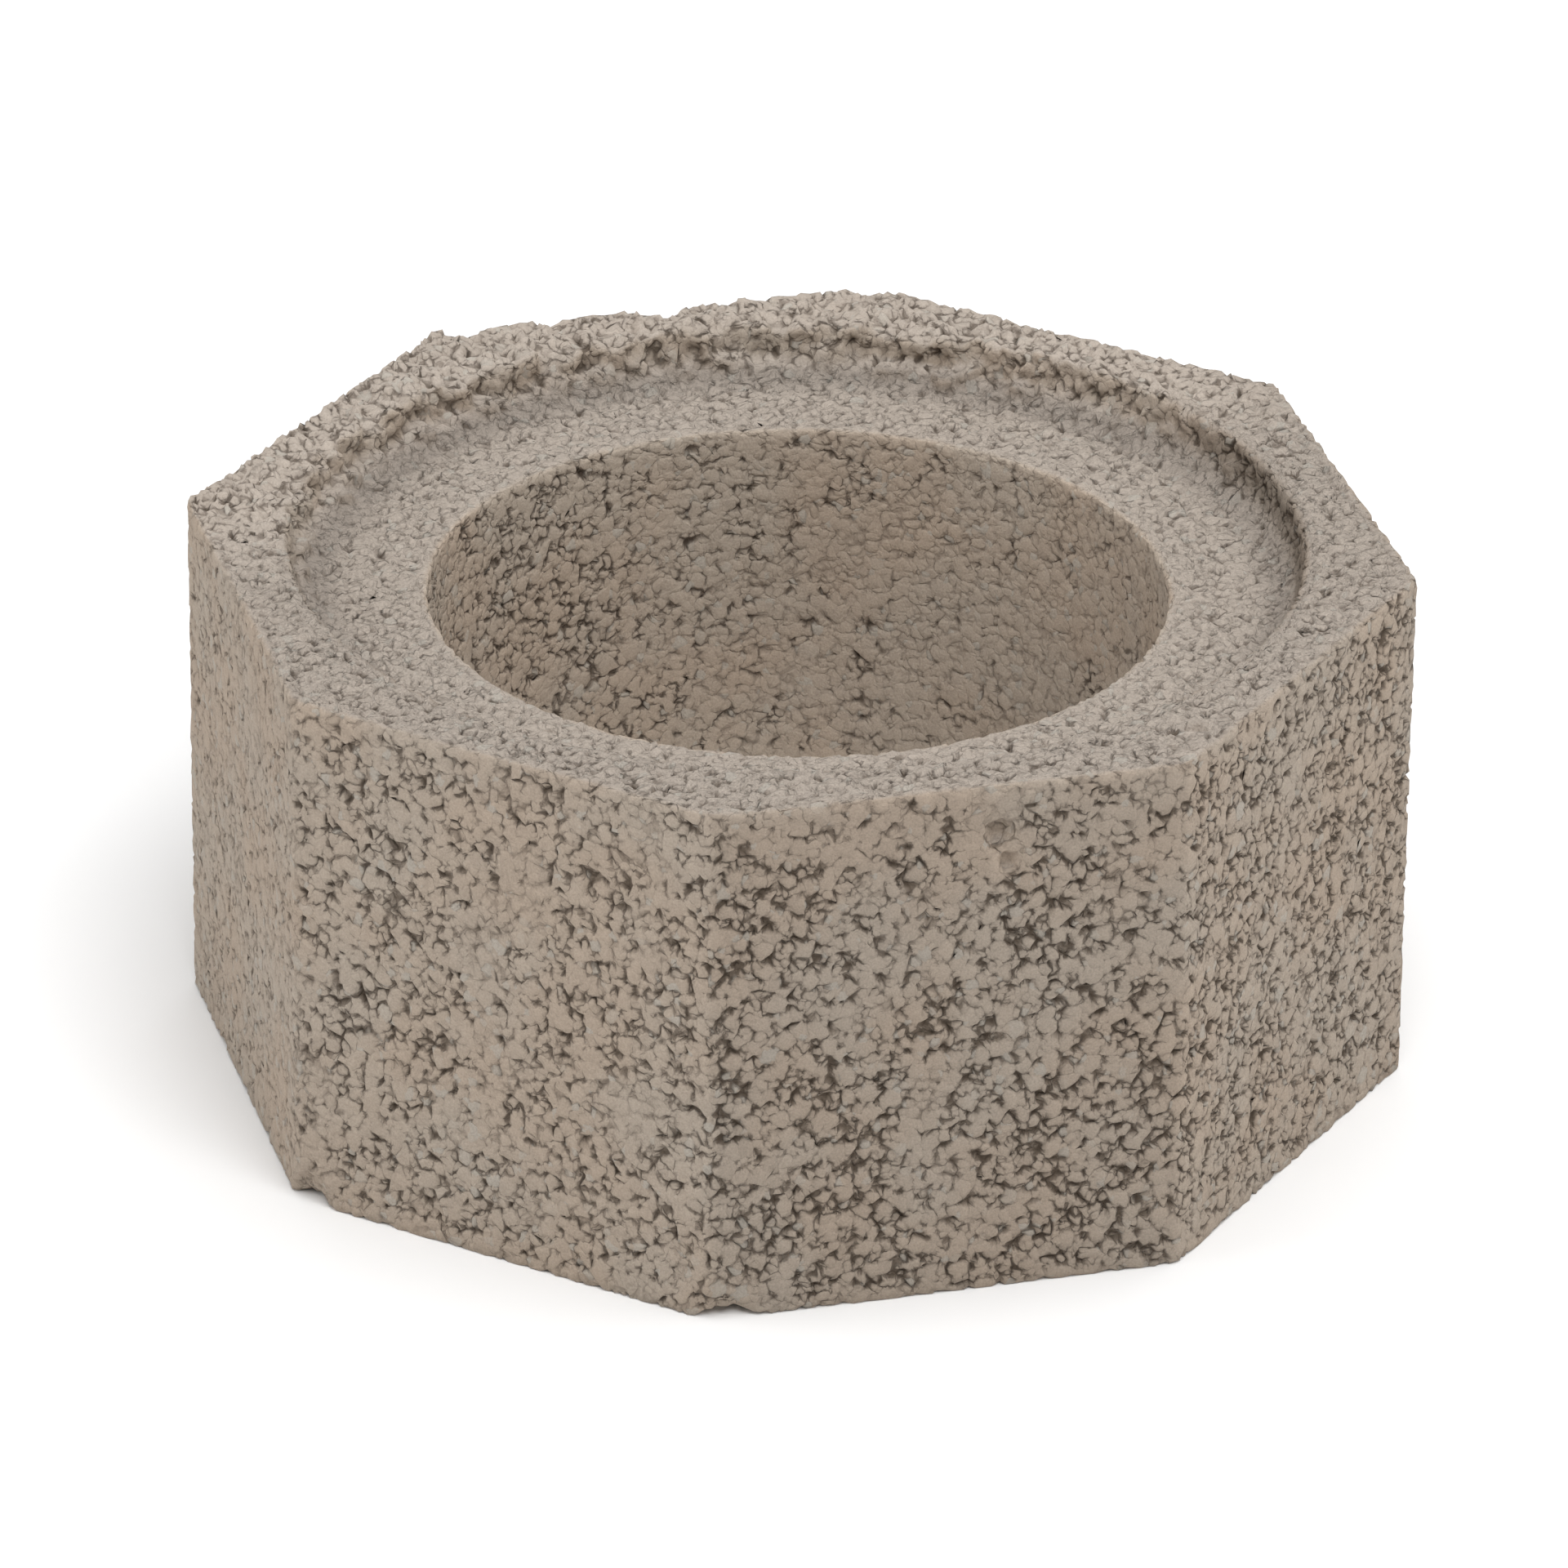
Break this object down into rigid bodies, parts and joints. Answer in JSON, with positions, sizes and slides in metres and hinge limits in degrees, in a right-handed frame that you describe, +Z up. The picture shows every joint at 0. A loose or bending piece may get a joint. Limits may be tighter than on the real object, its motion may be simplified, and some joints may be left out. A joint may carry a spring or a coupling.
{
  "type": "flue starter block",
  "caption": "Octagonal lightweight-concrete block with a round flue right through it and a shallow round socket in its top, in which the first flue liner stands.",
  "frame": {"origin": "centre of the base, on the flue's axis", "axes": "+Z up along the flue, out of the socket; two of the eight flat sides are square to X and two are square to Y"},
  "size_m": [0.31, 0.31, 0.15],
  "materials": {
    "lightweight_concrete": "matt, open-textured lightweight-aggregate concrete: rounded grains with dark crevices between them, and patches of smooth cement skin on the moulded faces"
  },
  "bodies": {
    "root": {"starter_block": "lightweight_concrete"}
  },
  "joints": []
}
